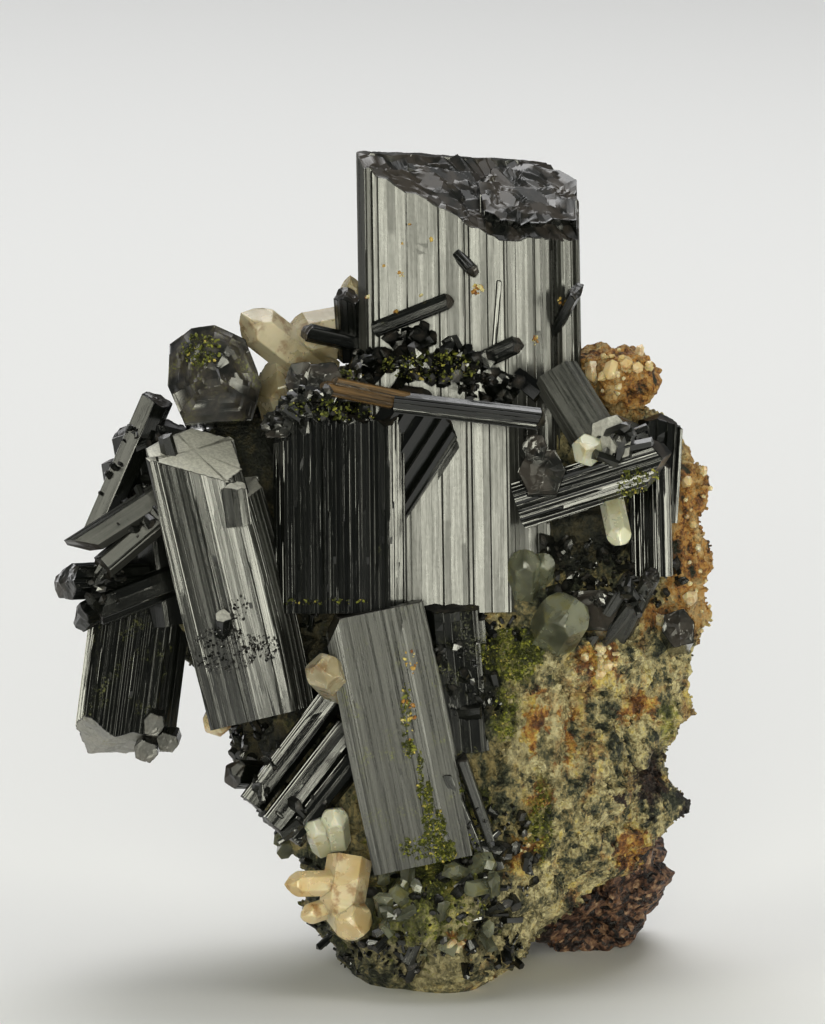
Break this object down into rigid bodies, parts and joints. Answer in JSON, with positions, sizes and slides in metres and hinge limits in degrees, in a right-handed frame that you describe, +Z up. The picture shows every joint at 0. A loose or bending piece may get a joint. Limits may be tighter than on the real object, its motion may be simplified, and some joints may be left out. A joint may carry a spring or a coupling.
{
  "type": "epidote on quartz mineral specimen",
  "caption": "Dark striated epidote crystals with small pale quartz crystals on a broken ochre and green quartz matrix, standing on a flat cut base.",
  "frame": {"origin": "on the flat cut under the specimen, below the middle of its box", "axes": "+Z up along the tall crystal; -Y towards the side that shows the large crystals; +X to the right seen from there"},
  "size_m": [0.0666, 0.0387, 0.0826],
  "materials": {
    "epidote": "glossy, striated, nearly black green",
    "quartz": "milky, translucent, yellowish",
    "rock": "rough, broken, ochre to grey green",
    "crust": "rough, crystalline, red brown"
  },
  "bodies": {
    "root": {"quartz_matrix": "rock", "brown_crust": "crust", "main_epidote": "epidote", "left_epidote": "epidote", "front_epidote": "epidote", "centre_epidote": "epidote", "slanting_epidote": "epidote", "cross_lath": "epidote", "hanging_epidote": "epidote", "round_epidote": "epidote", "left_wall": "epidote", "left_blade": "epidote", "left_lath": "epidote", "left_tips": "epidote", "upper_blocks": "epidote", "upper_laths": "epidote", "orange_lath": "epidote", "striated_epidote": "epidote", "right_blade": "epidote", "right_wall": "epidote", "right_block": "epidote", "right_striped": "epidote", "right_facet": "epidote", "right_laths": "epidote", "edge_block": "epidote", "lower_laths": "epidote", "side_lath": "epidote", "hidden_epidote": "epidote", "foot_laths": "epidote", "upper_quartz": "quartz", "tip_quartz": "quartz", "corner_quartz": "quartz", "round_quartz": "quartz", "white_quartz": "quartz", "tag_quartz": "quartz", "grey_quartz": "quartz", "clear_quartz": "quartz", "hidden_quartz": "quartz", "gap_quartz": "quartz"}
  },
  "joints": []
}
